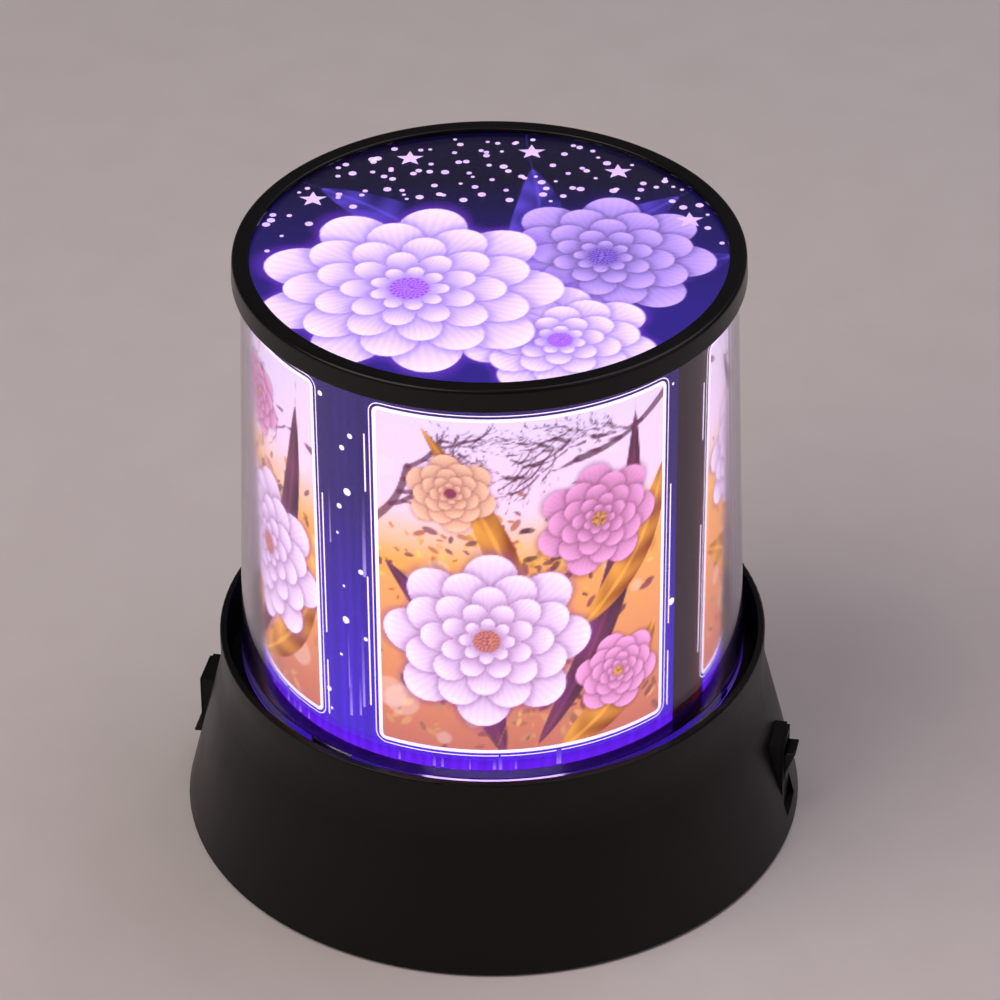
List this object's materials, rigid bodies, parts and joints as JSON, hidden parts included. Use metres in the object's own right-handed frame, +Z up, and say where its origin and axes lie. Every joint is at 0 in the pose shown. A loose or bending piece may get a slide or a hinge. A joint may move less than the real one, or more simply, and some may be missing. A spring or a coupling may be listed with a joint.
{
  "type": "rotating motion lamp",
  "caption": "Small table lamp: a lit drum with a printed film in a clear tapered sleeve turns on a flared black base with two side rocker switches.",
  "frame": {"origin": "middle of the base on the plane of its feet", "axes": "+Z up along the drum's turning axis, +X towards the light switch, -X towards the motor switch, +Y towards the power inlet"},
  "size_m": [0.1152, 0.1148, 0.1179],
  "materials": {
    "black_plastic": "matt black ABS",
    "rocker_plastic": "satin black",
    "white_plastic": "white",
    "clear_plastic": "clear",
    "frosted_plastic": "frosted",
    "printed_film": "backlit print",
    "rubber": "soft",
    "steel": "plated",
    "brass": "plain",
    "board": "green solder mask",
    "led": "clear lens",
    "cell": "plain sleeve",
    "acetal": "natural",
    "wire": "insulated"
  },
  "bodies": {
    "base": {"base_housing": "black_plastic", "base_plate": "black_plastic", "battery_door": "black_plastic", "battery_door_screw": "steel", "base_screws": "steel", "rubber_feet": "rubber", "battery_cells": "cell", "battery_springs": "steel", "battery_contacts": "steel", "light_switch_frame": "black_plastic", "light_switch_blades": "brass", "motor_switch_frame": "black_plastic", "motor_switch_blades": "brass", "dc_inlet": "black_plastic", "dc_inlet_pin": "steel", "control_board": "board", "control_chip": "black_plastic", "capacitor": "steel", "board_screws": "steel", "motor_can": "steel", "gearbox_case": "steel", "motor_screws": "steel", "idler_pin": "steel", "thrust_washer": "acetal", "led_post": "white_plastic", "post_screws": "steel", "led_board": "board", "leds": "led", "diffuser_dome": "frosted_plastic", "led_leads": "wire", "motor_leads": "wire", "inlet_leads": "wire", "light_switch_leads": "wire", "motor_switch_leads": "wire", "battery_leads": "wire"},
    "turntable": {"turntable": "black_plastic", "bearing_bush": "brass"},
    "drum": {"clear_sleeve": "clear_plastic", "top_ring": "black_plastic", "top_window": "clear_plastic", "top_print": "printed_film", "side_print": "printed_film"},
    "idler": {"idler_gear": "acetal"},
    "pinion": {"motor_pinion": "acetal", "motor_shaft": "steel"},
    "light_rocker": {"light_rocker": "rocker_plastic"},
    "motor_rocker": {"motor_rocker": "rocker_plastic"}
  },
  "joints": [
    {"name": "turntable_spin", "type": "hinge", "parent": "base", "child": "turntable", "pos_m": [0, 0, 0.0305], "axis": [0, 0, 1], "continuous": true},
    {"name": "idler_spin", "type": "hinge", "parent": "base", "child": "idler", "pos_m": [0, 0.0258, 0.0293], "axis": [0, 0, 1], "continuous": true},
    {"name": "pinion_spin", "type": "hinge", "parent": "base", "child": "pinion", "pos_m": [0.01536, 0.02309, 0.0284], "axis": [0, 0, 1], "continuous": true},
    {"name": "drum_lift", "type": "slide", "parent": "turntable", "child": "drum", "axis": [0, 0, 1], "range_m": [0, 0.09]},
    {"name": "light_rocker_tip", "type": "hinge", "parent": "base", "child": "light_rocker", "pos_m": [0.05397, 0, 0.0111], "axis": [0, 1, 0], "range_deg": [-18, 0]},
    {"name": "motor_rocker_tip", "type": "hinge", "parent": "base", "child": "motor_rocker", "pos_m": [-0.05397, 0, 0.0111], "axis": [0, 1, 0], "range_deg": [-18, 0]}
  ],
  "couplings": [
    {"joint": "idler_spin", "follows": "turntable_spin", "ratio": -5.1429},
    {"joint": "pinion_spin", "follows": "turntable_spin", "ratio": 17.143}
  ]
}
